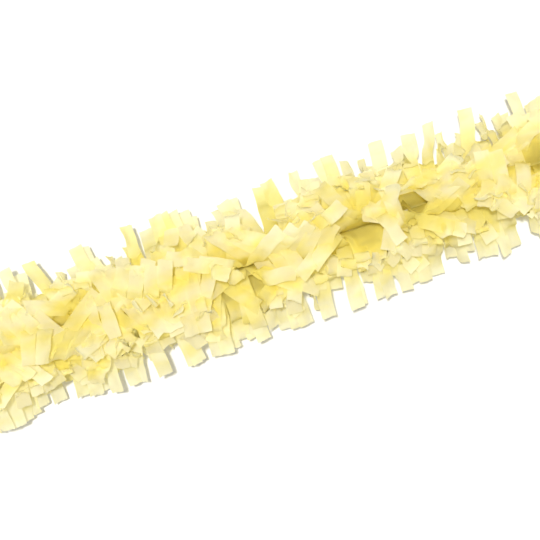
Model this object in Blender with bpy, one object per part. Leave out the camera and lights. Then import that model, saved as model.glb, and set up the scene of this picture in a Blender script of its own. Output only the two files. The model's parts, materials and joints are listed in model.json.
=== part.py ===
"""Tissue festooning: a garland of fringed tissue paper sewn along a cotton core cord.

Each ply of tissue is a long strip, slit into a fringe along both edges. It is folded along its middle, and
four such folds are sewn back to back round the cord and fluffed out, so that the fringe stands out all round.
The garland lies along X on a table at Z = 0, with its origin under its middle. It is made of equal lengths
that bend where they meet.
"""

import math
import random

import bmesh
import bpy
from mathutils import Matrix, Vector

# Tissue, in metres.
TISSUE_WIDTH = 0.1016
UNCUT_WIDTH = 0.028
TISSUE_THICKNESS = 0.0004
STRIP_PITCH = 0.0098
SLIT_WIDTH = 0.0010
STRIP_LEAN = 0.0016

# Cord, thread and knots, in metres.
CORD_DIAMETER = 0.0020
THREAD_DIAMETER = 0.0005
KNOT_DIAMETER = 0.0060
KNOT_LENGTH = 0.0070
LOOP_WIDTH = 0.0150
LOOP_REACH = 0.0210

# How the garland lies, in metres.
CORE_HEIGHT = 0.0260
CROWN_SOFTNESS = 0.0500
SEAT_GAP = 0.0003
PRESSED_DEPTH = 0.0003

# How sharply the fringe bends over at the table and at the crown, and how hard it is pressed to the table.
TABLE_SHARPNESS = 4
CROWN_SHARPNESS = 3
TABLE_PRESS = 1.06

# Counts and angles.
LENGTH_COUNT = 5
STRIPS_PER_LENGTH = 9
PLY_LETTERS = "abcd"
BEND_LIMIT = math.radians(15)
TWIST_PER_STRIP = math.radians(9.5)
GATHER_ANGLE = math.radians(5)
STRIP_SPREAD = math.radians(15)
STRIP_TURN = math.radians(34)
PARTING_WANDER = math.radians(17)
SAG_ANGLE = math.radians(28)
SEED = 19

# Shares of a strip's length at which its rows of points lie, and how far each row of a crumpled strip lies to
# one side or the other of its line, as a share of one crease.
STRIP_ROW_SHARES = (0.34, 0.68, 1.0)
CREASE_SHARES = (0.5, -0.5, 0.5)

# How much of the full sag a level strip has, and how much more one that points straight up would have.
LEVEL_SAG_SHARE = 0.58
RISING_SAG_SHARE = 0.83

# The share of its length that a strip straight over the cord loses by crumpling.
TOP_CRUMPLE_SHARE = 0.35

# The places, counted from the left end, where the fringe is crumpled short at the back and at the front, with
# the share of its length that it reaches out with there.
BACK_SHORT_SHARES = {
    8: 0.55, 9: 0.52, 12: 0.50, 13: 0.52, 19: 0.60, 22: 0.50, 24: 0.55, 25: 0.52,
    30: 0.58, 32: 0.64, 34: 0.50, 36: 0.50, 38: 0.62, 39: 0.52, 40: 0.60,
}
FRONT_SHORT_SHARES = {
    7: 0.55, 12: 0.62, 14: 0.55, 24: 0.55, 26: 0.56, 28: 0.64, 33: 0.58, 34: 0.62, 39: 0.54,
}

# The tail's route from the cord's end, as shares of its reach and of its fall to the table.
TAIL_REACH = 0.0360
TAIL_ROUTE_SHARES = (
    (0.00, 0.00), (0.12, 0.01), (0.25, 0.08), (0.38, 0.24), (0.50, 0.44),
    (0.62, 0.66), (0.74, 0.85), (0.87, 0.97), (1.00, 1.00),
)

# One side of the loop's route, as shares of its reach and of half its width.
LOOP_ROUTE_SHARES = (
    (0.00, 0.17), (0.07, 0.18), (0.18, 0.34), (0.34, 0.72),
    (0.52, 0.97), (0.72, 0.94), (0.89, 0.60), (1.00, 0.00),
)
LOOP_SINK_SHARE = 0.45

LENGTH = STRIPS_PER_LENGTH * STRIP_PITCH
HALF_LENGTH = LENGTH / 2
MIDDLE = (LENGTH_COUNT + 1) // 2
FRINGE_REACH = TISSUE_WIDTH / 2
BAND_REACH = UNCUT_WIDTH / 2
FOLD_REACH = CORD_DIAMETER / 2 + SEAT_GAP + TISSUE_THICKNESS / 2
THREAD_REACH = FOLD_REACH + TISSUE_THICKNESS / 2 + SEAT_GAP + THREAD_DIAMETER / 2
PLY_ANGLE = math.tau / len(PLY_LETTERS)
WING_ANGLE = PLY_ANGLE / 4
END_X = LENGTH_COUNT * HALF_LENGTH

# A ply's section, as the side of its fold and the reach from the cord's centre.
PLY_SECTION = ((-1, BAND_REACH), (-1, FOLD_REACH), (0, FOLD_REACH), (1, FOLD_REACH), (1, BAND_REACH))

TISSUE_COLOUR = (0.98, 0.86, 0.42)
CORD_COLOUR = (0.90, 0.87, 0.78)
THREAD_COLOUR = (0.93, 0.84, 0.50)


def material(name, colour, roughness):
    """A plain Principled material, all of it non-metallic."""
    made = bpy.data.materials.new(name)
    made.use_nodes = True
    shader = made.node_tree.nodes["Principled BSDF"]
    shader.inputs["Base Color"].default_value = (*colour, 1.0)
    shader.inputs["Roughness"].default_value = roughness
    shader.inputs["Metallic"].default_value = 0.0
    return made


def place_on_length(made, empty, finish):
    """Parents a finished object to its length's empty, keeping it where it was modelled."""
    made.data.transform(Matrix.Translation(-empty.location))
    made.parent = empty
    made.data.materials.append(finish)
    return made


def joint_x(number):
    """Where a length is carried: at its inner end, or at the garland's middle for the middle length."""
    if number == MIDDLE:
        return 0.0
    inner = number - MIDDLE - math.copysign(0.5, number - MIDDLE)
    return inner * LENGTH


def length_empty(number):
    """The empty that a length turns with, on its bending axis."""
    empty = bpy.data.objects.new(f"length_{number}_axis", None)
    bpy.context.collection.objects.link(empty)
    empty.location = (joint_x(number), 0.0, CORE_HEIGHT)
    empty.empty_display_size = CORE_HEIGHT
    return empty


def tube(name, points, diameter, sides_resolution):
    """A round cord along the points, closed at both ends."""
    curve = bpy.data.curves.new(name, "CURVE")
    curve.dimensions = "3D"
    curve.bevel_depth = diameter / 2
    curve.bevel_resolution = sides_resolution
    curve.use_fill_caps = True
    spline = curve.splines.new("POLY")
    spline.points.add(len(points) - 1)
    for target, point in zip(spline.points, points):
        target.co = (*point, 1.0)
    spline.use_smooth = True
    made = bpy.data.objects.new(name, curve)
    bpy.context.collection.objects.link(made)
    return made


def smooth_route(points, steps):
    """A Catmull-Rom curve through the points, with the given steps between each two."""
    ends = [points[0] * 2 - points[1], *points, points[-1] * 2 - points[-2]]
    route = []
    for before, start, end, after in zip(ends, ends[1:], ends[2:], ends[3:]):
        for step in range(steps):
            t = step / steps
            route.append(
                0.5 * (
                    2 * start
                    + (end - before) * t
                    + (2 * before - 5 * start + 4 * end - after) * t ** 2
                    + (3 * start - before - 3 * end + after) * t ** 3
                )
            )
    return [*route, points[-1]]


def settled(reach, angle, side):
    """Where a point of the round, freshly fluffed section comes to lie when the garland is put down.

    Beside the cord, the fringe first sags with its own weight. Under the cord it meets the table and turns
    along it, and over the cord it flops to one side. Both keep its length: what a strip no longer covers
    along its own line, it covers sideways. Y and Z are from the cord.
    """
    sideways = math.cos(angle)
    sag_share = min(1.0, max(0.0, LEVEL_SAG_SHARE + RISING_SAG_SHARE * math.sin(angle)))
    free_share = max(0.0, (reach - BAND_REACH) / (FRINGE_REACH - BAND_REACH))
    angle -= SAG_ANGLE * sag_share * free_share * sideways * abs(sideways)
    z = reach * math.sin(angle)
    if z < 0:
        kept = 1 / (1 + (-z / CORE_HEIGHT) ** TABLE_SHARPNESS) ** (1 / TABLE_SHARPNESS)
        lying = TISSUE_THICKNESS / 2 - CORE_HEIGHT
        settled_z = max(z * kept * TABLE_PRESS, lying)
    else:
        kept = 1 / (1 + (z / CROWN_SOFTNESS) ** CROWN_SHARPNESS) ** (1 / CROWN_SHARPNESS)
        settled_z = z * kept
    return reach * (math.cos(angle) * kept + side * (1 - kept)), settled_z


def section_point(x, reach, angle, side, middle_x):
    """A point of the settled tissue, from its place in the round section.

    Each length is drawn in along the cord with height, so that two lengths clear each other when they bend.
    """
    y, z = settled(reach, angle, side)
    relief = (2 * SEAT_GAP + abs(z) * math.tan(BEND_LIMIT / 2)) / HALF_LENGTH
    return Vector((middle_x + (x - middle_x) * (1 - relief), y, CORE_HEIGHT + z))


def flop_side(angle, parting):
    """Which way a strip falls: to the right of the parting, or to the left."""
    return 1 if math.cos(angle) > math.cos(parting) else -1


def reach_share(x, angle):
    """The share of its length that a strip reaches out with: less over the cord, and in the short places."""
    place = int((x + END_X) / STRIP_PITCH)
    shares = BACK_SHORT_SHARES if math.cos(angle) > 0 else FRONT_SHORT_SHARES
    lost_sideways = (1 - shares.get(place, 1.0)) * math.cos(angle) ** 2
    return 1 - lost_sideways - TOP_CRUMPLE_SHARE * max(0.0, math.sin(angle))


def strip(mesh, roots, x, angle, sign, middle_x, chance):
    """One strip of the fringe, as a row of faces from the band's edge to its square-cut tip."""
    width = STRIP_PITCH - SLIT_WIDTH
    out_share = reach_share(x, angle)
    crease = math.sqrt(1 - out_share ** 2) * (FRINGE_REACH - BAND_REACH) / len(STRIP_ROW_SHARES)
    spread = sign * chance.uniform(0.3, 1.0) * STRIP_SPREAD
    turn = chance.uniform(-1.0, 1.0) * STRIP_TURN
    lean = chance.uniform(-1.0, 1.0) * STRIP_LEAN * (1 - abs(x - middle_x) / HALF_LENGTH)
    side = flop_side(angle + spread, math.pi / 2 + chance.uniform(-1.0, 1.0) * PARTING_WANDER)
    last = roots
    for share, crease_share in zip(STRIP_ROW_SHARES, CREASE_SHARES):
        reach = BAND_REACH + (FRINGE_REACH - BAND_REACH) * share * out_share
        centre = angle + spread * share ** 2 + crease * crease_share / reach
        along = width / 2 * math.cos(turn * share)
        across = width / 2 * math.sin(turn * share) / reach
        centre_x = x + lean * share ** 2
        row = []
        for end in (-1, 1):
            at = section_point(
                centre_x + end * along, reach, centre + end * across, side, middle_x
            )
            row.append(mesh.verts.new(at))
        mesh.faces.new((last[0], last[1], row[1], row[0]))
        last = row


def ply_sheet(number, ply, chance):
    """The middle surface of one ply of one length: a fold that hugs the cord, two wings and their fringe."""
    middle_x = (number - MIDDLE) * LENGTH
    mesh = bmesh.new()
    lines = []
    angles = []
    for line in range(STRIPS_PER_LENGTH + 1):
        x = middle_x - HALF_LENGTH + line * STRIP_PITCH
        fold = ply * PLY_ANGLE + x / STRIP_PITCH * TWIST_PER_STRIP
        gather = GATHER_ANGLE * (1 if line % 2 else -1)
        angles.append(fold)
        row = []
        for wing, reach in PLY_SECTION:
            waved = gather if reach == BAND_REACH else 0.0
            row.append(mesh.verts.new(section_point(x, reach, fold + wing * WING_ANGLE + waved, 0, middle_x)))
        lines.append(row)
    for left, right in zip(lines, lines[1:]):
        for k in range(len(left) - 1):
            mesh.faces.new((left[k], left[k + 1], right[k + 1], right[k]))
    for j in range(STRIPS_PER_LENGTH):
        x = middle_x - HALF_LENGTH + (j + 0.5) * STRIP_PITCH
        fold = (angles[j] + angles[j + 1]) / 2
        for wing, edge in ((-1, 0), (1, -1)):
            roots = (lines[j][edge], lines[j + 1][edge])
            sign = wing if (j + ply) % 2 else -wing
            strip(mesh, roots, x, fold + wing * WING_ANGLE, sign, middle_x, chance)
    bmesh.ops.recalc_face_normals(mesh, faces=mesh.faces)
    sheet = bpy.data.meshes.new(f"ply_sheet_{number}_{ply}")
    mesh.to_mesh(sheet)
    mesh.free()
    return sheet


def thickened(name, sheet):
    """A solid tissue ply from its middle surface, with what touches the table pressed flat on it."""
    guide = bpy.data.objects.new(f"{name}_guide", sheet)
    bpy.context.collection.objects.link(guide)
    solidify = guide.modifiers.new("thickness", "SOLIDIFY")
    solidify.thickness = TISSUE_THICKNESS
    solidify.offset = 0.0
    solidify.use_even_offset = False
    graph = bpy.context.evaluated_depsgraph_get()
    solid = bpy.data.meshes.new_from_object(guide.evaluated_get(graph))
    bpy.data.objects.remove(guide)
    for vertex in solid.vertices:
        if vertex.co.z < PRESSED_DEPTH:
            vertex.co.z = 0.0
    made = bpy.data.objects.new(name, solid)
    bpy.context.collection.objects.link(made)
    return made


def tissue_plies(number, empty, finish):
    """The four plies of one length, each a fold with two fringed wings."""
    for ply, letter in enumerate(PLY_LETTERS):
        chance = random.Random(SEED + number * len(PLY_LETTERS) + ply)
        solid = thickened(f"tissue_ply_{letter}_{number}", ply_sheet(number, ply, chance))
        place_on_length(solid, empty, finish)


def core_cord(number, empty, finish):
    """The stretch of core cord that one length is sewn to."""
    middle_x = (number - MIDDLE) * LENGTH
    half = HALF_LENGTH - SEAT_GAP / 2
    points = [Vector((middle_x + end * half, 0.0, CORE_HEIGHT)) for end in (-1, 0, 1)]
    place_on_length(tube(f"core_cord_{number}", points, CORD_DIAMETER, 2), empty, finish)


def seam_thread(name, number, ply, empty, finish):
    """One thread of the seam, lying in the fold of a ply and following its twist."""
    middle_x = (number - MIDDLE) * LENGTH
    steps = STRIPS_PER_LENGTH
    half = HALF_LENGTH - THREAD_DIAMETER
    points = []
    for step in range(steps + 1):
        x = middle_x + half * (2 * step / steps - 1)
        angle = ply * PLY_ANGLE + x / STRIP_PITCH * TWIST_PER_STRIP
        points.append(section_point(x, THREAD_REACH, angle, 0, middle_x))
    place_on_length(tube(f"{name}_{number}", points, THREAD_DIAMETER, 1), empty, finish)


def end_x(side, out):
    """A place beyond one end of the tissue: side is -1 for the left end and 1 for the right."""
    return side * (END_X + SEAT_GAP / 2 + out)


def tail(side, word, empty, finish):
    """The cord's free end, which leaves the tissue level and falls to the table."""
    fall = CORE_HEIGHT - KNOT_DIAMETER / 2
    route = [
        Vector((end_x(side, along * TAIL_REACH), 0.0, CORE_HEIGHT - down * fall))
        for along, down in TAIL_ROUTE_SHARES
    ]
    place_on_length(tube(f"{word}_tail", smooth_route(route, 2), CORD_DIAMETER, 2), empty, finish)


def knot(side, word, empty, finish):
    """The knot, as the round lump that it makes in the cord, turned about the cord's line."""
    profile = ((0.0, 0.0), (0.62, 0.0), (0.86, 0.14), (1.0, 0.34), (0.90, 0.5))
    mesh = bmesh.new()
    outline = [*profile, *((r, 1 - along) for r, along in reversed(profile[:-1]))]
    verts = [mesh.verts.new((along * KNOT_LENGTH, 0.0, r * KNOT_DIAMETER / 2)) for r, along in outline]
    edges = [mesh.edges.new(pair) for pair in zip(verts, verts[1:])]
    bmesh.ops.spin(
        mesh, geom=verts + edges, cent=(0, 0, 0), axis=(1, 0, 0), angle=math.tau, steps=12,
        use_merge=True, use_duplicate=False,
    )
    bmesh.ops.remove_doubles(mesh, verts=mesh.verts, dist=SEAT_GAP / 10)
    bmesh.ops.recalc_face_normals(mesh, faces=mesh.faces)
    data = bpy.data.meshes.new(f"{word}_knot")
    mesh.to_mesh(data)
    mesh.free()
    start = end_x(side, TAIL_REACH + SEAT_GAP)
    turn = Matrix.Rotation(0 if side > 0 else math.pi, 4, "Z")
    data.transform(Matrix.Translation((start, 0.0, KNOT_DIAMETER / 2)) @ turn)
    made = bpy.data.objects.new(f"{word}_knot", data)
    bpy.context.collection.objects.link(made)
    data.shade_smooth()
    data.set_sharp_from_angle(angle=math.radians(40))
    place_on_length(made, empty, finish)


def hanging_loop(side, word, empty, finish):
    """The loop that goes over a nail, lying flat on the table beyond its knot."""
    start = TAIL_REACH + KNOT_LENGTH + 2 * SEAT_GAP
    rest = CORD_DIAMETER / 2
    sink = KNOT_DIAMETER / 2 - rest
    there = [
        Vector((end_x(side, start + along * LOOP_REACH), across * LOOP_WIDTH / 2, 0.0))
        for along, across in LOOP_ROUTE_SHARES
    ]
    back = [Vector((point.x, -point.y, 0.0)) for point in reversed(there[:-1])]
    route = smooth_route(there + back, 2)
    for point in route:
        sunk = min(abs(point.x - end_x(side, start)) / (LOOP_SINK_SHARE * LOOP_REACH), 1.0)
        point.z = rest + sink * (1 - sunk * sunk * (3 - 2 * sunk))
    place_on_length(tube(f"{word}_hanging_loop", route, CORD_DIAMETER, 2), empty, finish)


def garland():
    """Every length of the garland, and the tail, knot and loop at each end."""
    for old in list(bpy.data.objects):
        bpy.data.objects.remove(old)
    tissue = material("tissue", TISSUE_COLOUR, 0.75)
    cord = material("cord", CORD_COLOUR, 0.85)
    thread = material("thread", THREAD_COLOUR, 0.6)
    for number in range(1, LENGTH_COUNT + 1):
        empty = length_empty(number)
        core_cord(number, empty, cord)
        seam_thread("needle_thread", number, 0, empty, thread)
        seam_thread("bobbin_thread", number, len(PLY_LETTERS) // 2, empty, thread)
        tissue_plies(number, empty, tissue)
        for side, word, last in ((-1, "left", 1), (1, "right", LENGTH_COUNT)):
            if number == last:
                tail(side, word, empty, cord)
                knot(side, word, empty, cord)
                hanging_loop(side, word, empty, cord)


garland()
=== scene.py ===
import json
import math
import random
from itertools import product

import bmesh
import bpy
from mathutils import Matrix, Vector, noise
from mathutils.geometry import interpolate_bezier

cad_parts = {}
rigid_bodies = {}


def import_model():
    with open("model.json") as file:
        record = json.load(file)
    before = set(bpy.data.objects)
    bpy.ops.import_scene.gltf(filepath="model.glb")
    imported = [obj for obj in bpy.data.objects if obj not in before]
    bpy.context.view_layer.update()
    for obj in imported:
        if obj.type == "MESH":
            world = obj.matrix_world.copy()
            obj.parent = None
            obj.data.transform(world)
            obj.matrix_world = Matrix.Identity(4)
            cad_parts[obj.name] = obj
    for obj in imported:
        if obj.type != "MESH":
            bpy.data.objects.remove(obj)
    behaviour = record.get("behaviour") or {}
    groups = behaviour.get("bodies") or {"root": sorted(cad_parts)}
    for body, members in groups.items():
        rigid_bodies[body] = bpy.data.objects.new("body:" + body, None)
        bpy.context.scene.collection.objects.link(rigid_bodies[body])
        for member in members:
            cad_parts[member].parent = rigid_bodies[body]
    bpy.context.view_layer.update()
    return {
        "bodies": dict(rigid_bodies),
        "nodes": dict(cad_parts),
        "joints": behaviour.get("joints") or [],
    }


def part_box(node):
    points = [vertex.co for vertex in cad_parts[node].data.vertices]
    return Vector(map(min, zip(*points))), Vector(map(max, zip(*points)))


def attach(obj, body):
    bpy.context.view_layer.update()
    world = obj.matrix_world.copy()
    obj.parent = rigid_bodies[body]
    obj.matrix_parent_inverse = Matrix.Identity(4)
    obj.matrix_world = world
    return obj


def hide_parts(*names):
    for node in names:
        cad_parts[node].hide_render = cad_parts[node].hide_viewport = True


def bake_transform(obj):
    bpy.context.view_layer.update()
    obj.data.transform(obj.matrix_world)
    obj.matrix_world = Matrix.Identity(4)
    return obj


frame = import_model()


# Camera.
# The photograph looks straight down at the garland through a long lens, turned so that it climbs to the
# right. The garland's core cord runs along X above the table.

CORE_LOW, CORE_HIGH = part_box("core_cord_3")
TABLE_TO_CORE = ((CORE_LOW + CORE_HIGH) / 2).z
CLIMB = math.radians(19.23)
PHOTO_PIXELS = 540
PIXELS_PER_METRE = 1542
CAMERA_HEIGHT = 1.6
AIM_ACROSS = -0.0076

camera_data = bpy.data.cameras.new("camera")
camera_data.lens = camera_data.sensor_width * CAMERA_HEIGHT * PIXELS_PER_METRE / PHOTO_PIXELS
camera = bpy.data.objects.new("camera", camera_data)
bpy.context.collection.objects.link(camera)
camera.location = (0.0, AIM_ACROSS, TABLE_TO_CORE + CAMERA_HEIGHT)
camera.rotation_euler = (0.0, 0.0, -CLIMB)
bpy.context.scene.camera = camera
bpy.context.scene.view_settings.view_transform = "Standard"


# Tails, knots and hanging loops.
# The garland's cotton core cord comes out of the tissue at each end, falls to the table, and is knotted into
# a small loop that goes over a nail. It is a three-strand twisted cord.

JOINT_X = sorted(joint["pos_m"][0] for joint in frame["joints"])
LENGTH = JOINT_X[1] - JOINT_X[0]
TISSUE_END = JOINT_X[-1] + LENGTH
CORD_DIAMETER = 0.0020
STRAND_COUNT = 3
STRAND_SHARE = 0.27
STRAND_SIDES = 8
LAY_LENGTH = 0.0055
TAIL_REACH = 0.0360
KNOT_DIAMETER = 0.0060
KNOT_LENGTH = 0.0070
KNOT_GAP = 0.0003
KNOT_TURNS = 3
KNOT_TURN_STEPS = 24
KNOT_START_SHARE = 0.45
KNOT_SWELL = 4
KNOT_HEART_SHARES = (0.0, 0.25, 0.5, 0.75, 1.0)
LOOP_WIDTH = 0.0150
LOOP_REACH = 0.0210
LOOP_SINK_SHARE = 0.45
ROUTE_STEPS = 6

# The tail's route, as shares of its reach and of its fall, and one side of the loop's, as shares of its
# reach and of half its width.
TAIL_ROUTE_SHARES = (
    (0.00, 0.00), (0.12, 0.01), (0.25, 0.08), (0.38, 0.24), (0.50, 0.44),
    (0.62, 0.66), (0.74, 0.85), (0.87, 0.97), (1.00, 1.00),
)
LOOP_ROUTE_SHARES = (
    (0.00, 0.17), (0.07, 0.18), (0.18, 0.34), (0.34, 0.72),
    (0.52, 0.97), (0.72, 0.94), (0.89, 0.60), (1.00, 0.00),
)
COTTON = (0.86, 0.82, 0.70)
COTTON_SHADE = (0.62, 0.56, 0.42)
COTTON_ROUGHNESS = 0.78
FIBRE_ROUGHNESS = 0.15
FIBRE_DEPTH = 0.0002
FIBRE_PALING = 0.6
PATCH_PALING = 0.5
PATCHES_PER_METRE = 180
CORD_FIBRES_PER_METRE = 1400


class Value:
    """A shader socket that takes part in sums: each operator adds the node that works it out."""

    def __init__(self, shader, socket):
        self.shader = shader
        self.socket = socket

    def worked(self, operation, first, second):
        return self.shader.node("ShaderNodeMath", {"operation": operation}, {0: first, 1: second})

    def __add__(self, other):
        return self.worked("ADD", self, other)

    def __sub__(self, other):
        return self.worked("SUBTRACT", self, other)

    def __rsub__(self, other):
        return self.worked("SUBTRACT", other, self)

    def __mul__(self, other):
        return self.worked("MULTIPLY", self, other)

    def clamped(self):
        """The same value, kept between nought and one."""
        found = self + 0.0
        found.socket.node.use_clamp = True
        return found


class Shader:
    """The node tree of a material or of the world."""

    def __init__(self, owner):
        self.owner = owner
        owner.use_nodes = True
        self.tree = owner.node_tree
        self.principled = self.tree.nodes.get("Principled BSDF")

    def node(self, kind, settings=None, inputs=None, output=0):
        """One output of a new node, whose settings are set before the values or links of its sockets."""
        made = self.tree.nodes.new(kind)
        for name, value in (settings or {}).items():
            setattr(made, name, value)
        for place, value in (inputs or {}).items():
            self.put(value, made.inputs[place])
        return Value(self, made.outputs[output])

    def put(self, value, socket):
        if isinstance(value, Value):
            self.tree.links.new(value.socket, socket)
        elif isinstance(value, tuple) and len(value) == 3 and socket.type == "RGBA":
            socket.default_value = (*value, 1.0)
        else:
            socket.default_value = value

    def finish(self, **inputs):
        for name, value in inputs.items():
            self.put(value, self.principled.inputs[name.replace("_", " ")])

    def grain(self, scale, detail, roughness=0.5):
        """Noise with the given number of lumps to the metre along X, Y and Z of the piece."""
        at = self.node("ShaderNodeTexCoord", output="Object")
        place = self.node("ShaderNodeMapping", inputs={"Vector": at, "Scale": scale})
        return self.node(
            "ShaderNodeTexNoise",
            inputs={"Vector": place, "Scale": 1.0, "Detail": detail, "Roughness": roughness},
        )

    def mixed(self, factor, first, second):
        """A colour from the first to the second. These are the Mix node's places for colours."""
        return self.node(
            "ShaderNodeMix", {"data_type": "RGBA"}, {0: factor, 6: first, 7: second}, output=2
        )

    def bump(self, height, strength, distance):
        return self.node(
            "ShaderNodeBump", inputs={"Height": height, "Strength": strength, "Distance": distance}
        )

    def met_by(self, *kinds):
        """One for rays of the given kinds, and nought for the others."""
        rays = [self.node("ShaderNodeLightPath", output=kind) for kind in kinds]
        return sum(rays[1:], rays[0]).clamped()


def cotton_finish(name, fibres_per_metre):
    """Spun cotton: matt, with fine fibres, and darker between them and in patches."""
    shader = Shader(bpy.data.materials.new(name))
    fibres = shader.grain((fibres_per_metre,) * 3, detail=4.0)
    patches = shader.grain((PATCHES_PER_METRE,) * 3, detail=2.0)
    pale = (fibres * FIBRE_PALING + patches * PATCH_PALING).clamped()
    shader.finish(
        Base_Color=shader.mixed(pale, COTTON_SHADE, COTTON),
        Roughness=fibres * FIBRE_ROUGHNESS + COTTON_ROUGHNESS,
        Normal=shader.bump(fibres, strength=0.5, distance=FIBRE_DEPTH),
        Specular_IOR_Level=0.2,
    )
    return shader.owner


def smooth_route(points, steps):
    """A Catmull-Rom curve through the points, with the given steps between each two."""
    ends = [points[0] * 2 - points[1], *points, points[-1] * 2 - points[-2]]
    route = []
    for before, start, end, after in zip(ends, ends[1:], ends[2:], ends[3:]):
        for step in range(steps):
            t = step / steps
            route.append(
                0.5 * (
                    2 * start
                    + (end - before) * t
                    + (2 * before - 5 * start + 4 * end - after) * t ** 2
                    + (3 * start - before - 3 * end + after) * t ** 3
                )
            )
    return [*route, points[-1]]


def measured(route):
    return sum((b - a).length for a, b in zip(route, route[1:]))


def evenly(route, count):
    """The same route, cut into steps of the same length by points on it."""
    goal = measured(route) / count
    found = [route[0]]
    run = 0.0
    for a, b in zip(route, route[1:]):
        step = (b - a).length
        while len(found) < count and run + step >= goal * len(found):
            found.append(a.lerp(b, (goal * len(found) - run) / step))
        run += step
    return [*found, route[-1]]


def along_route(route):
    """Each point of the route, with two directions across it that don't spin."""
    up = Vector((0.0, 0.0, 1.0))
    frames = []
    across = None
    for before, at, after in zip([route[0], *route], route, [*route[1:], route[-1]]):
        forward = (after - before).normalized()
        if across is None:
            across = forward.cross(up)
        across = (across - forward * across.dot(forward)).normalized()
        frames.append((at, across, forward.cross(across)))
    return frames


def add_tube(mesh, route, radius, sides):
    """A round tube along the route, closed at both ends."""
    turns = [math.tau * side / sides for side in range(sides)]
    rings = []
    for at, across, other in along_route(route):
        ring = [at + (across * math.cos(turn) + other * math.sin(turn)) * radius for turn in turns]
        rings.append([mesh.verts.new(point) for point in ring])
    for low, high in zip(rings, rings[1:]):
        for side in range(sides):
            following = (side + 1) % sides
            mesh.faces.new((low[side], low[following], high[following], high[side]))
    mesh.faces.new(reversed(rings[0]))
    mesh.faces.new(rings[-1])


def add_twisted_cord(mesh, route, diameter):
    """Three strands laid round each other along the route."""
    strand = diameter * STRAND_SHARE
    offset = diameter / 2 - strand
    frames = along_route(evenly(route, round(measured(route) / (diameter / 4))))
    for number in range(STRAND_COUNT):
        run = 0.0
        last = frames[0][0]
        line = []
        for at, across, other in frames:
            run += (at - last).length
            last = at
            angle = math.tau * (run / LAY_LENGTH + number / STRAND_COUNT)
            line.append(at + (across * math.cos(angle) + other * math.sin(angle)) * offset)
        add_tube(mesh, line, strand, STRAND_SIDES)


def finished(name, mesh, material):
    """A linked, smoothly shaded object made from a bmesh."""
    data = bpy.data.meshes.new(name)
    bmesh.ops.recalc_face_normals(mesh, faces=mesh.faces)
    mesh.to_mesh(data)
    mesh.free()
    data.materials.append(material)
    data.shade_smooth()
    made = bpy.data.objects.new(name, data)
    bpy.context.collection.objects.link(made)
    return made


def out_from(side, reach, across=0.0, height=0.0):
    """A place beyond one end of the tissue."""
    return Vector((side * (TISSUE_END + KNOT_GAP / 2 + reach), across, height))


def smooth(share):
    """The share, with a level start and a level end."""
    return share * share * (3 - 2 * share)


def tail_route(side):
    fall = TABLE_TO_CORE - KNOT_DIAMETER / 2
    points = [
        out_from(side, along * TAIL_REACH, 0.0, TABLE_TO_CORE - down * fall)
        for along, down in TAIL_ROUTE_SHARES
    ]
    return smooth_route(points, ROUTE_STEPS)


def loop_route(side):
    start = TAIL_REACH + KNOT_LENGTH + 2 * KNOT_GAP
    rest = CORD_DIAMETER / 2
    there = [
        out_from(side, start + along * LOOP_REACH, across * LOOP_WIDTH / 2)
        for along, across in LOOP_ROUTE_SHARES
    ]
    back = [Vector((point.x, -point.y, 0.0)) for point in reversed(there[:-1])]
    route = smooth_route(there + back, ROUTE_STEPS)
    for point in route:
        sunk = min(abs(point.x - out_from(side, start).x) / (LOOP_SINK_SHARE * LOOP_REACH), 1.0)
        point.z = rest + (KNOT_DIAMETER / 2 - rest) * (1 - smooth(sunk))
    return route


def knot_route(side):
    """Turns of the cord round itself, which is how the knot looks when it is pulled tight."""
    radius = (KNOT_DIAMETER - CORD_DIAMETER) / 2
    run = KNOT_LENGTH - CORD_DIAMETER
    steps = KNOT_TURNS * KNOT_TURN_STEPS
    route = []
    for step in range(steps + 1):
        share = step / steps
        angle = math.tau * KNOT_TURNS * share + math.pi / 2
        swell = min(share, 1 - share)
        pull = radius * min(1.0, KNOT_START_SHARE + KNOT_SWELL * swell)
        route.append(
            out_from(
                side,
                TAIL_REACH + KNOT_GAP + CORD_DIAMETER / 2 + run * share,
                pull * math.cos(angle),
                KNOT_DIAMETER / 2 + pull * math.sin(angle),
            )
        )
    return route


cotton = cotton_finish("spun_cotton", CORD_FIBRES_PER_METRE)
for side, word, body in ((-1, "left", "length_1"), (1, "right", "length_5")):
    knot_mesh = bmesh.new()
    add_twisted_cord(knot_mesh, knot_route(side), CORD_DIAMETER)
    heart = [
        out_from(side, TAIL_REACH + KNOT_GAP + KNOT_LENGTH * share, 0.0, KNOT_DIAMETER / 2)
        for share in KNOT_HEART_SHARES
    ]
    add_twisted_cord(knot_mesh, heart, CORD_DIAMETER)
    knot = finished(f"{word}_cord_knot", knot_mesh, cotton)
    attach(knot, body)
    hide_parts(f"{word}_knot")

    for kind, route, node in (
        ("tail", tail_route(side), f"{word}_tail"),
        ("loop", loop_route(side), f"{word}_hanging_loop"),
    ):
        cord_mesh = bmesh.new()
        add_twisted_cord(cord_mesh, route, CORD_DIAMETER)
        piece = finished(f"{word}_cord_{kind}", cord_mesh, cotton)
        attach(piece, body)
        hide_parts(node)
        measured(route)


# Core cord and seam threads.
# The cord runs through the middle of the tissue, and the seam's two threads lie in the folds beside it.
# They show only in the deepest hollows and at the garland's two ends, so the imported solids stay, and get a
# finish.

BODY_COUNT = len(frame["bodies"])
THREAD_FIBRES_PER_METRE = 3000

thread = cotton_finish("spun_thread", THREAD_FIBRES_PER_METRE)
for number in range(1, BODY_COUNT + 1):
    for node, finish in (("core_cord", cotton), ("needle_thread", thread), ("bobbin_thread", thread)):
        solid = frame["nodes"][f"{node}_{number}"]
        solid.data.materials.clear()
        solid.data.materials.append(finish)


# Tissue.
# Thin yellow tissue paper in four plies of two layers. Each layer is one long sheet, slit into a fringe
# along both edges, folded along its middle and sewn at the fold to the cord, with a slow twist, and then
# fluffed out by hand.

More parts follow.
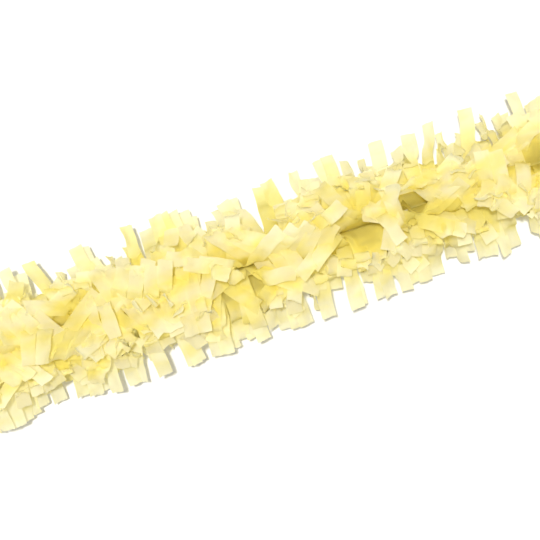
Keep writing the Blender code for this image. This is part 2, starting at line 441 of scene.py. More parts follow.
MM = 0.001
MM_PER_METRE = 1000
TISSUE_WIDTH = 0.1016
UNCUT_WIDTH = 0.028
STRIP_PITCH = 0.0098
STRIP_WIDTH = 0.0097
BAND_REACH = UNCUT_WIDTH / 2
STRIP_LENGTH = TISSUE_WIDTH / 2 - BAND_REACH
COLUMN_COUNT = round(2 * TISSUE_END / STRIP_PITCH)
TWIST_PER_STRIP = math.radians(9.5)
PLY_LETTERS = "abcd"
PLIES = range(len(PLY_LETTERS))
PLY_ANGLE = math.tau / len(PLY_LETTERS)
WINGS = (-1, 1)
WING_STEP = PLY_ANGLE / 4

# How many wing steps each half of a layer stands away from the ply's own direction, at the slits and at the
# fold, and how far the fold is from the cord's middle.
LAYERS = (
    {"word": "outer", "steps": 1.5, "fold_steps": 2.0, "fold_reach": 0.0015},
    {"word": "inner", "steps": 0.5, "fold_steps": 0.5, "fold_reach": 0.0018},
)

# Shares of the way from the fold to the slits: how far the band hugs the cord, where it has opened out,
# where its points lie, and from where the direction in which its strips leave it is taken.
HUG_SHARE = 0.08
OPEN_SHARE = 0.2
BAND_SHARES = (0.0, HUG_SHARE, OPEN_SHARE, 0.5, 0.75, 1.0)
LEAVING_SHARE = 0.6
RUFFLE_ANGLE = math.radians(15)
RUFFLE_GAIN = 1.6
RUFFLES_PER_METRE = 95

# Where the bands part and show their deeper folds, which get painted shade: along the garland in
# millimetres, the direction of the parting about the cord in degrees, how long it is, and how many degrees
# each of its sides moves away.
PARTINGS = (
    (-30, 152, 8, 26), (-12, 148, 7, 26), (66, 112, 9, 30), (100, 82, 8, 32), (188, 70, 8, 26),
    (30, 60, 8, 16), (-75, 100, 5, 14),
)
PARTED_ANGLE = math.radians(60)
# A parting this wide, in degrees, counts as fully open.
FULLY_OPENED = 30
CLOSED_SHARE = 0.6
FAINT = 0.01


def wing_angle(ply, wing, steps, x):
    """Which way one half of a folded layer points at x, turned about the cord from +Y towards +Z."""
    return ply * PLY_ANGLE + wing * steps * WING_STEP + x / STRIP_PITCH * TWIST_PER_STRIP


def parted(x, angle, share):
    """The angle, moved away from any parting of the bands near x, and how much it is parted there."""
    depth = 0.0
    for middle, direction, reach, opened in PARTINGS:
        near = math.exp(-(((x * MM_PER_METRE - middle) / reach) ** 2))
        aside = math.remainder(angle - math.radians(direction), math.tau)
        if near > FAINT and abs(aside) < PARTED_ANGLE:
            near *= 1 - abs(aside) / PARTED_ANGLE
            away = math.radians(opened) * near * smooth(min(1.0, share / CLOSED_SHARE))
            angle += math.copysign(away, aside)
            depth = max(depth, near * opened / FULLY_OPENED)
    return angle, depth


def band_point(ply, wing, layer, x, share):
    """A point of the uncut band, which hugs the cord at its fold and then runs out to the slits."""
    steps, fold_steps, fold_reach = (LAYERS[layer][key] for key in ("steps", "fold_steps", "fold_reach"))
    if share <= HUG_SHARE:
        opened = fold_steps * share / HUG_SHARE
        reach = fold_reach
    else:
        opened = fold_steps + (steps - fold_steps) * min(1.0, (share - HUG_SHARE) / (OPEN_SHARE - HUG_SHARE))
        reach = fold_reach + (BAND_REACH - fold_reach) * (share - HUG_SHARE) / (1 - HUG_SHARE)
    angle, _ = parted(x, wing_angle(ply, wing, opened, x), share)
    # Each half of a layer has a line of its own through the noise.
    own_line = 11.0 * ply + 5.0 * wing + 2.3 * layer
    ruffle = noise.noise(Vector((x * RUFFLES_PER_METRE, own_line, 0.0)))
    angle += RUFFLE_ANGLE * math.sqrt(share) * ruffle * RUFFLE_GAIN
    return Vector((x, reach * math.cos(angle), TABLE_TO_CORE + reach * math.sin(angle)))


# How far the fringe fills the gaps between its outermost strips, on the photograph's upper and lower side:
# places along the garland and the reach from the cord there, in millimetres.
UPPER_FLOOR = (
    (-220, 34), (-172, 36), (-159, 43), (-152, 39), (-149, 29), (-146.5, 22), (-144, 28), (-134, 32),
    (-125, 31), (-105, 33), (-98, 31), (-91, 31), (-88, 34), (-76, 27), (-73, 28), (-71, 33), (-68, 38),
    (-46, 42), (-36, 39), (-31, 32), (-24, 33), (-14, 40), (-6, 36), (-4, 27), (2, 18), (6, 13), (9, 28),
    (17, 38), (22, 32), (31, 31), (35, 38), (41, 36), (50, 40), (63, 38), (73, 34), (82, 33), (96, 32),
    (105, 36), (113, 30), (115, 22), (123, 22), (128, 20), (132, 30), (134, 31), (137, 26), (139.5, 22),
    (143, 19), (146.5, 20), (148, 28), (158, 26), (163, 32), (168, 25), (172, 33), (180, 38), (190, 36),
    (220, 34),
)
LOWER_FLOOR = (
    (-220, 36), (-185, 40), (-170, 40), (-163, 37), (-150, 34), (-146, 33), (-136, 42), (-124, 42),
    (-113, 38), (-110, 38), (-104, 43), (-97, 36), (-91, 35), (-85, 40), (-78, 32), (-72, 32), (-66, 42),
    (-55, 40), (-45, 43), (-36, 43), (-33, 41), (-22, 41), (-20, 42), (-8, 42), (6, 43), (14, 42),
    (18, 29), (25, 42), (31, 40), (33.5, 33), (35, 29), (41, 33), (46, 42), (51, 40), (54, 25), (58, 35),
    (64, 42), (74, 37), (80, 41), (90, 42), (104, 40), (107.5, 30), (111, 30), (114, 36), (124, 34),
    (132, 35), (134, 38), (142, 40), (156, 41), (166, 28), (172, 35), (182, 36), (220, 36),
)

# Where the garland shows a hollow, in millimetres: its middle, its radius, and the height above which no
# strip crosses it.
HOLLOWS = (
    (-13, -10, 6, 26), (-31, -11, 6, 26), (100, 3, 7, 24), (63, -5, 5.5, 24), (70, -6, 5.5, 24),
    (188, 5, 7, 24), (-30, 17, 2.5, 0), (8, 20, 2, 0), (46.5, 20.5, 1.8, 0), (64, 16, 1.8, 0),
    (79, 16, 1.4, 0), (103, 20, 1.8, 0), (115, 30, 4, 0), (116, 36, 3, 0), (128, 29, 3, 0),
    (143, 25, 3, 0), (159, 22, 2.5, 0), (36, -25, 1.5, 0), (54, -28, 1.8, 0), (3, 25, 3, 0),
    (125, 23, 1.6, 0), (113.5, -27, 1.4, 0), (18.4, -29, 1.4, 0), (131, -32.5, 1.6, 0),
)


def between(stops, x):
    """The height at x of a line through the stops."""
    for (x0, y0), (x1, y1) in zip(stops, stops[1:]):
        if x <= x1:
            break
    share = min(1.0, max(0.0, (x - x0) / (x1 - x0)))
    return y0 + (y1 - y0) * share


# How far the fringe fills those gaps at each millimetre along the garland, on each side of the cord.
FARTHEST = 260
FLOORS = {
    side: [between(stops, x) * MM for x in range(-FARTHEST, FARTHEST + 1)]
    for side, stops in ((1, UPPER_FLOOR), (-1, LOWER_FLOOR))
}

# The steps across and along a strip, those that a curl rolls up, and those beside the band that may lie
# anywhere.
ACROSS = 4
ROWS = 12
CURL_ROWS = 5
ROOT_ROWS = 2

# A strip's line is a Bezier curve of the strip's own length. Its tip is no farther from its root than the
# taut share of that, and the handles that give it its length are found by halving.
TAUT_SHARE = 0.985
HANDLE_SHARES = (0.1, 1.6)
HANDLE_TRIES = 12
TIP_HANDLE_SHARE = 0.8
CURVE_POINTS = 25
STEEP = 0.2

# How soon a strip has turned to its own roll, how deep and fine its crumple is, and how its tip is cut.
TURNED_SHARE = 0.25
CRINKLE_DEPTH = 0.0032
CRINKLE_GROWTH = 3
CRINKLES_ACROSS = 1.5
CRINKLES_ALONG = 3.5
CUP_MIDDLE = 0.4
TIP_SLANT = 0.0012
TIP_RAG = 0.0006
RAGS_ACROSS = 2.2
RAG_LINE = (7.7, 3.1)

# The space that the strips keep to, and the shape of the pile. Strips on the underside lie along the table.
TABLE_CLEARANCE = 0.0003
TALLEST = 0.068
END_FLARE = 0.006
PILE_FOOT = 0.008
PILE_RISE = 0.052
PILE_HALF_WIDTH = 0.055
UNDERSIDE = -0.3
UNDERSIDE_PITCH = 0.1
UNDERSIDE_FOOT = 0.001
UNDERSIDE_SHARE = 0.8


def pile_height(y):
    """How high the fluffed fringe stands at y."""
    return PILE_FOOT + PILE_RISE * math.sqrt(max(0.0, 1 - (y / PILE_HALF_WIDTH) ** 2))


class Strip:
    """One strip of the fringe: where it is cut from the band, and the rows of points that it takes up."""

    def __init__(self, ply, wing, layer, column):
        self.column = column
        self.x = (column + 0.5) * STRIP_PITCH - TISSUE_END
        start = self.x - STRIP_PITCH / 2
        places = [start + STRIP_PITCH * step / ACROSS for step in range(ACROSS + 1)]
        roots = [band_point(ply, wing, layer, place, 1.0) for place in places]
        self.root = roots[ACROSS // 2]
        self.first_across = (roots[-1] - roots[0]).normalized()
        self.leaving = (self.root - band_point(ply, wing, layer, self.x, LEAVING_SHARE)).normalized()
        # How far its root faces up, and out to +Y.
        angle = math.atan2(self.root.z - TABLE_TO_CORE, self.root.y)
        self.up = math.sin(angle)
        self.out = math.cos(angle)
        # Its place in the noise. The strips of a clump share one, each as many strips away as it lies.
        self.seed = Vector((column * 3.7, ply * 9.1 + wing * 2.3, layer * 5.9))
        self.away = 0
        self.depth = parted(self.x, wing_angle(ply, wing, LAYERS[layer]["steps"], self.x), 1.0)[1]
        self.rows = None
        self.tone = None

    def centreline(self, tip, arriving, curl, straightness, hump):
        """The line from the strip's root to where its tip lies, with its last part rolled by the curl."""
        rows = ROWS - CURL_ROWS if curl else ROWS
        length = STRIP_LENGTH * rows / ROWS
        reach = tip - self.root
        leaving = self.leaving + reach.normalized() * straightness + Vector((0.0, 0.0, hump))
        leaving.normalize()
        if reach.length > TAUT_SHARE * length:
            tip = self.root + reach * (TAUT_SHARE * length / reach.length)
        short, long = (share * length for share in HANDLE_SHARES)
        for _ in range(HANDLE_TRIES):
            handle = (short + long) / 2
            points = interpolate_bezier(
                self.root, self.root + leaving * handle, tip - arriving * handle * TIP_HANDLE_SHARE, tip,
                CURVE_POINTS,
            )
            if measured(points) > length:
                long = handle
            else:
                short = handle
        line = evenly(points, rows)
        if curl:
            heading = (line[-1] - line[-2]).normalized()
            sideways = heading.cross(Vector((0.0, 0.0, 1.0))).normalized()
            turn = Matrix.Rotation(curl / CURL_ROWS, 3, sideways)
            for _ in range(CURL_ROWS):
                heading = turn @ heading
                line.append(line[-1] + heading * (STRIP_LENGTH / ROWS))
        return line

    def lay(self, tip, arriving, roll, cup, curl=0.0, straightness=0.0, hump=0.0):
        """Lays the strip from its root to the tip, turned about its own line by the roll and cupped."""
        line = self.centreline(tip, arriving, curl, straightness, hump)
        end = (line[-1] - line[-2]).normalized()
        level = end.cross(Vector((0.0, 0.0, 1.0)))
        level = level.normalized() if level.length > STEEP else self.first_across.copy()
        if level.dot(self.first_across) < 0:
            level = -level
        last_across = Matrix.Rotation(roll, 3, end) @ level
        slant = noise.noise(self.seed) * TIP_SLANT
        self.rows = []
        for row in range(1, ROWS + 1):
            share = row / ROWS
            turned = min(1.0, share / TURNED_SHARE)
            along = (line[min(row + 1, ROWS)] - line[row - 1]).normalized()
            across = self.first_across.lerp(last_across, smooth(turned))
            across = (across - along * across.dot(along)).normalized()
            normal = across.cross(along)
            width = STRIP_PITCH + (STRIP_WIDTH - STRIP_PITCH) * turned
            points = []
            for step in range(ACROSS + 1):
                u = 2 * step / ACROSS - 1
                place = Vector(((u / 2 + self.away) * CRINKLES_ACROSS, share * CRINKLES_ALONG, 0.0))
                crinkle = noise.noise(self.seed + place) * CRINKLE_DEPTH * min(1.0, share * CRINKLE_GROWTH)
                off = crinkle + cup * (u * u - CUP_MIDDLE) * smooth(share)
                point = line[row] + across * (u * width / 2) + normal * off
                if row == ROWS:
                    rag = noise.noise(self.seed + Vector((u * RAGS_ACROSS, *RAG_LINE))) * TIP_RAG
                    point += along * (slant * u + rag)
                point.z = max(point.z, TABLE_CLEARANCE)
                points.append(point)
            self.rows.append(points)

    def trespass(self):
        """How far the strip goes into a gap of the fringe or a hollow, or past the top or the ends."""
        most = 0.0
        for row in self.rows[ROOT_ROWS:]:
            for point in row:
                side = 1 if point.y > 0 else -1
                place = min(2 * FARTHEST, max(0, round(point.x * MM_PER_METRE) + FARTHEST))
                past_gap = abs(point.y) - FLOORS[side][place]
                past_end = abs(point.x) - TISSUE_END - END_FLARE
                most = max(most, past_gap, point.z - TALLEST, past_end)
                for x, y, radius, height in HOLLOWS:
                    if point.z > height * MM:
                        most = max(most, radius * MM - math.hypot(point.x - x * MM, point.y - y * MM))
        return most

    def fall(self, side, mood):
        """Lets a strip that isn't one of the outermost fall to one side, as its mood has it."""
        heading = mood["heading"]
        aside = Vector((math.sin(heading), side * math.cos(heading), 0.0))
        tip = self.root + aside * mood["chord"]
        if self.up > 0:
            tip.z = TABLE_TO_CORE + (pile_height(tip.y) - TABLE_TO_CORE) * self.up * mood["lift"]
        else:
            tip.z = UNDERSIDE_FOOT + TABLE_TO_CORE * UNDERSIDE_SHARE * (1 + self.up) * mood["lift"]
        free = self.up > UNDERSIDE
        aside.z = mood["pitch"] * (1.0 if free else UNDERSIDE_PITCH)
        curl = mood["curl"] if free else 0.0
        self.lay(tip, aside.normalized(), mood["roll"], mood["cup"], curl, mood["straightness"])


strips = {key: Strip(*key) for key in product(PLIES, WINGS, range(len(LAYERS)), range(COLUMN_COUNT))}

# Where the fringe's outermost strips end, in millimetres: along the garland, how wide the tip looks from
# above, how far it reaches from the cord, and how far along from the tip the strip starts.
UPPER_TIPS = (
    (-214, 8, 45, 2), (-206, 9, 49, 0), (-196, 8, 46, 3), (-186, 9, 50, -2), (-176, 8, 45, 4),
    (-164, 9, 54, 3), (-155.5, 9.5, 43.5, 0), (-147, 8.5, 50, 3), (-134, 8, 33, 2), (-129, 4, 36, 0),
    (-121.5, 8, 37, 0), (-115.5, 9.5, 48.5, 0), (-111.5, 9.5, 47, 3), (-107, 7, 36, 3), (-96, 3, 36, 0),
    (-93, 9.5, 32, 0), (-79.6, 7.4, 50.5, -2), (-82, 8, 38, -1), (-68.3, 9.6, 44, 0), (-59.5, 9.5, 54, 0),
    (-54.5, 9, 51, 0), (-48.5, 9.5, 49, 0), (-42, 9.5, 47, 2), (-37.5, 8, 42, 1), (-26, 8.5, 35, 0),
    (-20.5, 8, 40.5, 6), (-15, 9.5, 44, 8), (-9.5, 9.5, 44.5, 2), (11, 9.5, 46.5, -3), (16.5, 9, 48, -3),
    (24, 9, 31.5, 0), (29, 9, 31, 0), (34.5, 7, 48, 6), (39.5, 8, 41, 2), (45.5, 9, 40, 0),
    (53, 9.7, 52, 0), (58.5, 9, 51.5, 0), (68.7, 6, 43.5, 0), (79.5, 3.5, 41, 0), (84.5, 8, 35, 0),
    (92, 9.7, 52.5, -4), (103, 8, 40, 5), (113.8, 9.7, 46.5, -6.5), (128.3, 6.3, 49.5, -9),
    (133.6, 3, 41, -6), (135.5, 8, 30.5, 0), (146, 6, 36, -10), (153.6, 9.7, 51, -4), (160, 6, 38.5, 3),
    (163.5, 4, 43, 4), (172, 6, 39.5, 0), (177, 7, 38, 0), (186, 8.5, 50, 0), (196, 8, 40, 0),
    (205, 9, 42, 0), (214, 8, 45, 0),
)
LOWER_TIPS = (
    (-213, 8, 46, 0), (-203, 9, 49, 0), (-194, 9, 50, 0), (-186.5, 9.5, 50, 0), (-181.5, 9, 48.5, 0),
    (-175.5, 9, 46.5, 0), (-169, 8, 42.5, 2), (-157.5, 9, 44, -3), (-147, 8, 33, 0), (-141, 9.5, 45.5, 0),
    (-133, 9.5, 47.5, 0), (-127.5, 9, 46.5, 0), (-119, 8, 52, 0), (-106.5, 8.5, 49, 0), (-103.5, 9, 49, 0),
    (-90, 8, 37, 0), (-85.5, 9.6, 51, -4), (-75, 7, 34, 0), (-66, 9.5, 49.5, 0), (-62.5, 9.5, 49, 0),
    (-49, 9.6, 51, 0), (-43.5, 9, 50, 0), (-38, 9, 48.5, 0), (-31, 9, 43.8, 0), (-24.5, 9, 45.8, 0),
    (-18, 9.5, 49.5, 0), (-9, 8, 43.5, 0), (-2, 9.5, 47.5, 0), (5, 9.5, 49, 0), (11.5, 9.5, 49.5, 0),
    (21.5, 3, 43, 0), (26.5, 9.6, 49.5, 0), (37, 8, 33, 0), (46, 9.5, 50, -0.5), (48.5, 9.5, 50.5, 0),
    (58.5, 7, 36, 0), (64.5, 9.5, 49, 0), (69, 9, 49.5, 0), (81, 8, 51.5, 0), (88.5, 9, 46.5, 0),
    (94, 9, 48, 0), (103, 9.5, 46.5, -5), (114.5, 7, 39, 0), (121.5, 6, 45, -8), (126, 9, 38.5, 0),
    (135, 9, 45.5, 0), (140, 9.5, 46.5, 0), (149.5, 8, 50, 0), (156, 9, 46, 0), (171.5, 5, 42, 0),
    (178, 8, 46, 0), (186, 9, 49, 0), (195, 9, 47, 0), (204, 8, 50, 0), (213, 9, 47, 0),
)

# The outermost strips that the photograph shows in a deeper yellow, their tone, and the tones of the others.
DEEPER_TIPS = (-147, -79.6, -82, -54.5, 11, 16.5, 29)
DEEP_TONE = -1.0
TIP_TONES = (0.4, 1.0)

# The strip that is chosen for a tip leaves the band about level. It droops by a share of its spare length,
# or to a height above the table, and arrives at a slope. One that doesn't reach far humps up first.
TIP_DIP = 0.12
DIP_WEIGHT = 0.030
TIP_HEIGHTS = (0.006, 0.016)
DROOP_SHARES = (0.45, 1.0)
TIP_SLOPE = -0.25
TIP_TURN_SHARE = 0.6
TIP_CUP = 0.0006
HUMPED_BELOW = 42
HUMP_PER_MM = 0.2
TIP_SEED = 5


def misfit(strip, side, x, base_shift):
    """How badly a strip suits a tip, by its own direction and by where along the garland it starts."""
    level = math.atan2(strip.root.z - TABLE_TO_CORE, side * strip.root.y)
    return abs(level + TIP_DIP) * DIP_WEIGHT + abs(strip.x - x - base_shift * MM)


chance = random.Random(TIP_SEED)
for side, tips in ((1, UPPER_TIPS), (-1, LOWER_TIPS)):
    for middle, looks_wide, reach, base_shift in tips:
        target = Vector((middle * MM, side * reach * MM, 0.0))
        unused = [strip for strip in strips.values() if strip.rows is None]
        strip = min(unused, key=lambda strip: misfit(strip, side, target.x, base_shift))
        flat = Vector((target.x - strip.root.x, target.y - strip.root.y))
        slack = (TAUT_SHARE * STRIP_LENGTH) ** 2 - flat.length_squared
        droop = min(math.sqrt(max(slack, 0.0)), strip.root.z - chance.uniform(*TIP_HEIGHTS))
        target.z = strip.root.z - max(droop, 0.0) * chance.uniform(*DROOP_SHARES)
        heading = Vector((flat.x * TIP_TURN_SHARE, flat.y, TIP_SLOPE * flat.length)).normalized()
        roll = math.acos(min(1.0, looks_wide * MM / STRIP_WIDTH)) * chance.choice((-1, 1))
        hump = max(0.0, HUMPED_BELOW - reach) * HUMP_PER_MM
        strip.lay(target, heading, roll, chance.uniform(-TIP_CUP, TIP_CUP), straightness=1.0, hump=hump)
        strip.tone = DEEP_TONE if middle in DEEPER_TIPS else chance.uniform(*TIP_TONES)

# Where no strip crosses over the top, in millimetres along the garland, so that the bands show.
OPEN_STRETCHES = ((-38, -8), (54, 76), (90, 112), (180, 200))
CROSSING_SHARE = 0.85
CLUMP_SIZES = (1, 2, 2, 3, 3, 4)
DRAWN_TOGETHER = 0.04
TONE_SPREAD = 0.1

# How a strip falls: how far it turns aside and how far its tip is from its root, for one that faces up and
# for another, and how often it is tried.
FACING_UP = 0.55
WIDE_SPREAD = 1.3
NARROW_SPREAD = 0.5
UPPER_CHORDS = (0.021, 0.034)
LOWER_CHORDS = (0.016, 0.034)
TIP_ROWS = 4
CLUMP_TRIES = 14
OWN_TRIES = 60
SIDE_TRIES = 12
SHORTENING_TRIES = 70
FALL_SEED = 23


def drawn_mood(chance, up, attempt):
    """How a strip falls. Later attempts keep it shorter, which crumples it more."""
    shorter = 1 - attempt / SHORTENING_TRIES
    faces_up = up > FACING_UP
    spread = WIDE_SPREAD if faces_up else NARROW_SPREAD
    return {
        "heading": chance.uniform(-spread, spread),
        "chord": chance.uniform(*(UPPER_CHORDS if faces_up else LOWER_CHORDS)) * shorter,
        "lift": chance.uniform(0.75, 1.15),
        "pitch": chance.uniform(-0.9, 0.2),
        "roll": chance.uniform(-0.45, 0.45),
        "fan": chance.uniform(-0.05, 0.05),
        "cup": chance.uniform(-0.0010, 0.0010),
        "curl": chance.choice((0.0, chance.uniform(-2.4, -0.6), chance.uniform(0.5, 1.8))) * faces_up,
        "straightness": chance.uniform(0.1, 0.9),
    }


def in_clump(strip, mood):
    """The clump's mood for one of its strips: they draw together towards their tips and fan round."""
    own = dict(mood)
    own["heading"] -= DRAWN_TOGETHER * strip.away
    own["roll"] += mood["fan"] * strip.away
    return own


def clump_mood(chance, members, side, up):
    """The mood in which the most of a clump fits, so that its strips lie together as one lobe."""
    best = None
    for attempt in range(CLUMP_TRIES):
        mood = drawn_mood(chance, up, attempt)
        worst = 0.0
        for strip in members:
            strip.fall(side, in_clump(strip, mood))
            worst += strip.trespass()
        if best is None or worst < best[0]:
            best = (worst, mood)
        if worst == 0:
            break
    return best[1]


def settle(chance, strip, side, mood):
    """Lays a strip in its clump's mood or in a better one. One at the side reaches as far as it can."""
    best = None
    for attempt in range(OWN_TRIES):
        strip.fall(side, mood)
        trespass = strip.trespass()
        reach = sum(abs(row[ACROSS // 2].y) for row in strip.rows[-TIP_ROWS:])
        score = reach if trespass <= 0 else -trespass
        if best is None or score > best[0]:
            best = (score, strip.rows)
        if best[0] > 0 and (abs(strip.up) > FACING_UP or attempt > SIDE_TRIES):
            break
        mood = drawn_mood(chance, strip.up, attempt)
    strip.rows = best[1]


# The rest fall in clumps of neighbours, to their own side or over the middle, and curl.
for ply, wing, layer in product(PLIES, WINGS, range(len(LAYERS))):
    sizes = random.Random(f"{FALL_SEED} {ply} {wing} {layer}")
    column = 0
    while column < COLUMN_COUNT:
        columns = range(column, min(column + sizes.choice(CLUMP_SIZES), COLUMN_COUNT))
        chance = random.Random(f"{FALL_SEED} {ply} {wing} {layer} {column}")
        column = columns.stop
        middle = columns[len(columns) // 2]
        lead = strips[ply, wing, layer, middle]
        members = [strips[ply, wing, layer, number] for number in columns]
        members = [strip for strip in members if strip.rows is None]
        clump_tone = chance.random()
        own_side = 1 if lead.out > 0 else -1
        open_here = any(low * MM < lead.x < high * MM for low, high in OPEN_STRETCHES)
        crossing = 0.0 if open_here or lead.up < 0 else CROSSING_SHARE * lead.up ** 2
        side = -own_side if chance.random() < crossing else own_side
        for strip in members:
            strip.away = strip.column - middle
            strip.seed = lead.seed
        mood = clump_mood(chance, members, side, lead.up)
        for strip in members:
            settle(chance, strip, side, in_clump(strip, mood))
            strip.tone = clump_tone + chance.uniform(-TONE_SPREAD, TONE_SPREAD)

# What each point of the paper tells its finish: how far from the fold it is, as a share of half the sheet's
# width, and how pale its strip is. The first is cut down in partings, and sets the painted shade of the
# stacked layers towards the fold and in the partings.
TAGS = ("from_fold", "tone")
HALF_WIDTH = TISSUE_WIDTH / 2
BAND_TONE = 0.5
# The fold itself counts as this far out, so that most of the olive painted shade goes to the partings.
LIGHT_FOLD = 0.12

# How much a parting deepens the colour of its bands as painted shade, and how soon that fades along their
# strips.
PARTING_SHADE = 1.6
SHADE_FADING = 2.5

# The deep yellow is the tissue's deeper tone and also painted shade of its stacked layers; the olive is
# painted shade in the fold and in partings.
DEEP_YELLOW_AND_SHADE = (0.99, 0.88, 0.26)
TISSUE_PALE = (1.0, 0.975, 0.78)
PAINTED_FOLD_SHADE = (0.60, 0.55, 0.20)
LIGHT_THROUGH = (1.0, 0.955, 0.60)
THROUGH_SHARE = 0.65
TISSUE_ROUGHNESS = 0.85
STREAKS_PER_METRE = (38, 105, 60)
CRINKLES_PER_METRE = 420
CRINKLE_BUMP = 0.0004

# How fast the paper pales away from the fold and how fast the fold's olive fades, both painted shade of the
# stacked layers, and how much the tone and the streaks change that.
PALING = 1.3
PALE_START = -0.56
PALE_BY_TONE = 0.45
PALE_BY_STREAK = 2.6
SHADE_START = 1.0
SHADE_FADES = 8.0
SHADE_BY_STREAK = 3.0


def add_strip(mesh, roots, strip, tags):
    """The strip's faces, from its roots in the band to its square-cut tip."""
    last = roots
    for row, points in enumerate(strip.rows, 1):
        # A parting's painted shade on the strip, fading along it.
        shaded = min(1.0, PARTING_SHADE * strip.depth) * max(0.0, 1 - SHADE_FADING * row / ROWS)
        made = [mesh.verts.new(point) for point in points]
        for vertex in made:
            vertex[tags["from_fold"]] = (BAND_REACH + STRIP_LENGTH * row / ROWS) / HALF_WIDTH * (1 - shaded)
            vertex[tags["tone"]] = strip.tone
        for step in range(ACROSS):
            mesh.faces.new((last[step], last[step + 1], made[step + 1], made[step]))
        last = made


def tissue_mesh(ply, layer, columns):
    """One layer of one ply over some columns: the folded band, and the strips on both its edges."""
    mesh = bmesh.new()
    tags = {name: mesh.verts.layers.float.new(name) for name in TAGS}
    across_band = [(-1, share) for share in reversed(BAND_SHARES[1:])]
    across_band += [(1, share) for share in BAND_SHARES]
    lines = []
    for step in range(len(columns) * ACROSS + 1):
        x = columns[0] * STRIP_PITCH - TISSUE_END + step * STRIP_PITCH / ACROSS
        line = []
        for wing, share in across_band:
            vertex = mesh.verts.new(band_point(ply, wing, layer, x, share))
            _, depth = parted(x, wing_angle(ply, wing, LAYERS[layer]["steps"], x), share)
            # The band's painted shade: deeper towards the fold, and deeper still where a parting opens it.
            light = max(LIGHT_FOLD, share * BAND_REACH / HALF_WIDTH)
            vertex[tags["from_fold"]] = light * (1 - min(1.0, PARTING_SHADE * depth))
            vertex[tags["tone"]] = BAND_TONE
            line.append(vertex)
        lines.append(line)
    for left, right in zip(lines, lines[1:]):
        for place in range(len(left) - 1):
            mesh.faces.new((left[place], left[place + 1], right[place + 1], right[place]))
    for number, column in enumerate(columns):
        for wing, edge in zip(WINGS, (0, -1)):
            roots = [lines[number * ACROSS + step][edge] for step in range(ACROSS + 1)]
            add_strip(mesh, roots, strips[ply, wing, layer, column], tags)
    return mesh


def tissue_finish():
    """Thin tissue paper: matt, faintly crinkled, lets light through, and has painted shade towards the fold.
    """
    shader = Shader(bpy.data.materials.new("tissue_paper"))
    from_fold, tone = (
        shader.node("ShaderNodeAttribute", {"attribute_name": name}, output="Fac") for name in TAGS
    )
    streaks = shader.grain(STREAKS_PER_METRE, detail=2.0) - 0.5
    crinkle = shader.grain((CRINKLES_PER_METRE,) * 3, detail=5.0, roughness=0.6)
    # Paler away from the fold, which is painted shade, and paler or deeper with the strip's tone and the
    # streaks.
    pale = (from_fold * PALING + PALE_START + tone * PALE_BY_TONE + streaks * PALE_BY_STREAK).clamped()
    # Painted olive shade in the fold and in partings, broken up by the streaks.
    shade = (SHADE_START - from_fold * SHADE_FADES + streaks * SHADE_BY_STREAK).clamped()
    colour = shader.mixed(pale, DEEP_YELLOW_AND_SHADE, TISSUE_PALE)
    shader.finish(
        Base_Color=shader.mixed(shade, colour, PAINTED_FOLD_SHADE),
        Roughness=TISSUE_ROUGHNESS,
        Normal=shader.bump(crinkle, strength=0.35, distance=CRINKLE_BUMP),
        Specular_IOR_Level=0.15,
    )
    paper = Value(shader, shader.principled.outputs["BSDF"])
    through = shader.node("ShaderNodeBsdfTranslucent", inputs={"Color": LIGHT_THROUGH})
    both = shader.node("ShaderNodeMixShader", inputs={"Fac": THROUGH_SHARE, 1: paper, 2: through})
    shader.put(both, shader.tree.nodes["Material Output"].inputs["Surface"])
    return shader.owner


# Each layer is one long sheet, built in stretches that meet near the middles of the lengths. The first and
# the last ride on an end length alone, and each of the others crosses one joint.
COLUMNS_PER_LENGTH = round(LENGTH / STRIP_PITCH)
CUTS = (0, *range(COLUMNS_PER_LENGTH // 2, COLUMN_COUNT, COLUMNS_PER_LENGTH), COLUMN_COUNT)

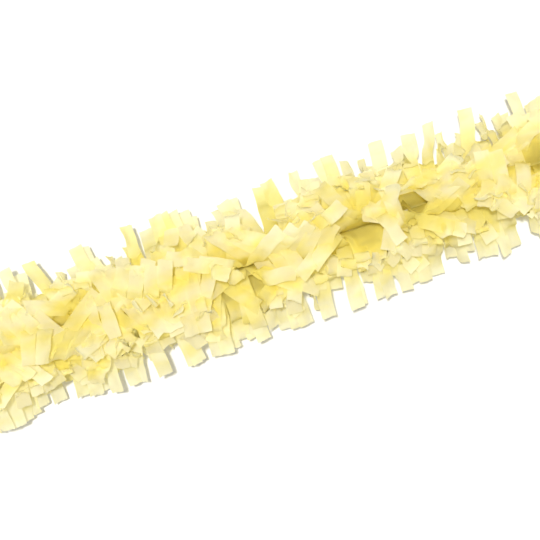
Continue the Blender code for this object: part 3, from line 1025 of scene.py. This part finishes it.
tissue = tissue_finish()
for ply, letter in enumerate(PLY_LETTERS):
    for layer in range(len(LAYERS)):
        for number, (start, stop) in enumerate(zip(CUTS, CUTS[1:]), 1):
            columns = range(start, stop)
            name = f"tissue_{letter}_{LAYERS[layer]['word']}_{number}"
            piece = finished(name, tissue_mesh(ply, layer, columns), tissue)
            lengths = sorted({max(1, number - 1), min(BODY_COUNT, number)})
            bodies = [f"length_{length}" for length in lengths]
            if len(lengths) == 1:
                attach(piece, bodies[0])
            else:
                middle = Vector((JOINT_X[number - 2], 0.0, TABLE_TO_CORE))
                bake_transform(piece)
            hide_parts(*(f"tissue_ply_{letter}_{length}" for length in lengths))


# Floor and light.
# A plain white floor, an even white sky, and one small lamp high up towards the upper left.

FLOOR_SIZE = 6.0
FLOOR_WHITE = (0.86, 0.86, 0.86)
FLOOR_GLOW = 0.01
SKY_STRENGTH = 0.52
LAMP_STRENGTH = 2.8
LAMP_SPREAD = math.radians(4)
LAMP_TILT = math.radians(6)
LAMP_BEARING = math.radians(135) - CLIMB

floor_mesh = bmesh.new()
bmesh.ops.create_grid(floor_mesh, x_segments=1, y_segments=1, size=FLOOR_SIZE / 2)
floor_shader = Shader(bpy.data.materials.new("white_floor"))
seen = floor_shader.met_by("Is Camera Ray", "Is Glossy Ray", "Is Transmission Ray")
floor_shader.finish(
    Base_Color=FLOOR_WHITE,
    Roughness=0.9,
    Specular_IOR_Level=0.0,
    Emission_Color=floor_shader.mixed(seen, (0.0, 0.0, 0.0), (FLOOR_GLOW,) * 3),
    Emission_Strength=1.0,
)
floor = finished("floor", floor_mesh, floor_shader.owner)

# The sky lights at its own strength, and is white to the eye. Nothing here is clear, and light that passes
# through the paper keeps the sky's own strength too.
sky = Shader(bpy.data.worlds.new("white_sky"))
background = sky.tree.nodes["Background"]
seen = sky.met_by("Is Camera Ray", "Is Glossy Ray")
sky.put((1.0, 1.0, 1.0), background.inputs["Color"])
sky.put(seen * (1.0 - SKY_STRENGTH) + SKY_STRENGTH, background.inputs["Strength"])
bpy.context.scene.world = sky.owner

# The lamp stands a little to the upper left of straight overhead, as the camera sees it.
lamp_data = bpy.data.lights.new("high_lamp", "SUN")
lamp_data.energy = LAMP_STRENGTH
lamp_data.angle = LAMP_SPREAD
lamp = bpy.data.objects.new("high_lamp", lamp_data)
bpy.context.collection.objects.link(lamp)
toward = Vector((
    math.sin(LAMP_TILT) * math.cos(LAMP_BEARING),
    math.sin(LAMP_TILT) * math.sin(LAMP_BEARING),
    math.cos(LAMP_TILT),
))
lamp.rotation_euler = toward.to_track_quat("Z", "Y").to_euler()
